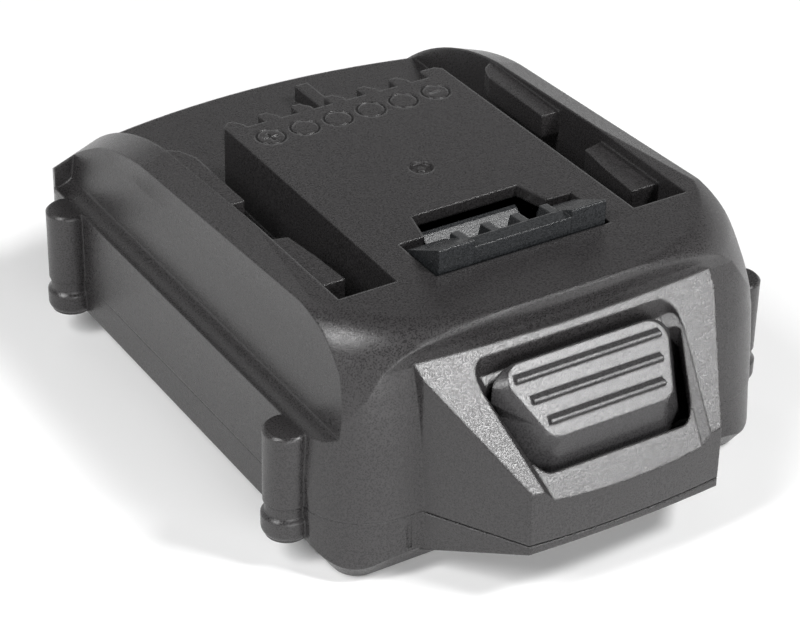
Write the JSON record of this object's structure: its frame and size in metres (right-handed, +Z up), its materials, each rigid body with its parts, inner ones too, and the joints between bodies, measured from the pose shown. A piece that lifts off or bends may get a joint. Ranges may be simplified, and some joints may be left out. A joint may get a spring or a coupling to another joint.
{
  "type": "power tool battery pack",
  "caption": "Slide-on battery pack for a cordless tool: two shells with side rails, a contact plateau, a sprung button in the nose and a hooked latch, cells and circuit inside.",
  "frame": {"origin": "on the table under the middle of the pack's outline", "axes": "+X across the rails to the pack's right seen from behind the contacts, +Y along the slide towards the contact bay with the release button at -Y, +Z up from the base"},
  "size_m": [0.0884, 0.112, 0.0435],
  "materials": {
    "shell_plastic": "fine spark-eroded texture, slightly satin",
    "button_plastic": "fine spark-eroded texture, slightly satin",
    "latch_plastic": "smooth moulded plastic",
    "spring_steel": "drawn spring wire",
    "screw_steel": "plated steel",
    "cell_sleeve": "shrunk sleeve",
    "frame_plastic": "natural moulded plastic",
    "strip_nickel": "rolled nickel strip",
    "insulator_sheet": "pressed fibre sheet",
    "foam": "closed-cell foam",
    "board_laminate": "green solder mask",
    "block_plastic": "glass-filled plastic",
    "terminal_metal": "rolled spring brass",
    "chip_plastic": "moulded epoxy",
    "ceramic": "fired ceramic",
    "sensor_coat": "dipped epoxy"
  },
  "bodies": {
    "pack": {"upper_shell": "shell_plastic", "lower_shell": "shell_plastic", "release_springs": "spring_steel", "housing_screws": "screw_steel", "cell_1": "cell_sleeve", "cell_2": "cell_sleeve", "cell_3": "cell_sleeve", "cell_4": "cell_sleeve", "cell_5": "cell_sleeve", "cell_frame_left": "frame_plastic", "cell_frame_right": "frame_plastic", "link_strips": "strip_nickel", "positive_strip": "strip_nickel", "negative_strip": "strip_nickel", "end_insulators": "insulator_sheet", "foam_pads": "foam", "circuit_board": "board_laminate", "terminal_block": "block_plastic", "power_terminals": "terminal_metal", "signal_terminals": "terminal_metal", "board_screws": "screw_steel", "control_chip": "chip_plastic", "power_transistors": "chip_plastic", "fuse": "ceramic", "capacitors": "ceramic", "thermistor": "sensor_coat"},
    "release": {"release_button": "button_plastic", "latch_bar": "latch_plastic"}
  },
  "joints": [
    {"name": "release_press", "type": "slide", "parent": "pack", "child": "release", "axis": [0, 0, -1], "range_m": [0, 0.004], "stiffness_N_per_m": 600, "springref_m": -0.004, "deforming": ["release_springs"]}
  ]
}
